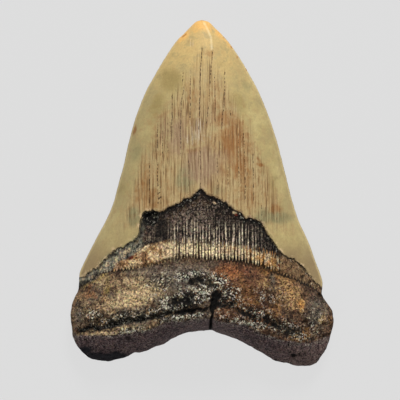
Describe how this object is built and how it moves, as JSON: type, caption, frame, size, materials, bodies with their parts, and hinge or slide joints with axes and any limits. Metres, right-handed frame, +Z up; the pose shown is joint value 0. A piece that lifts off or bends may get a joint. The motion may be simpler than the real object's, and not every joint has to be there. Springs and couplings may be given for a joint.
{
  "type": "fossil shark tooth",
  "caption": "Large fossil shark tooth with a triangular crown, worn cutting edges, a dark chevron band and a thick lobed root, lying on its flat face.",
  "frame": {"origin": "on the surface that the tooth lies on, under the middle of its box", "axes": "+Y from the root to the tip, +Z up out of the lingual face, +X across the tooth"},
  "size_m": [0.095, 0.125, 0.0266],
  "materials": {
    "fossil_tooth": "glossy worn enamel over a matt, porous, mineralised root"
  },
  "bodies": {
    "root": {"megalodon_tooth": "fossil_tooth"}
  },
  "joints": []
}
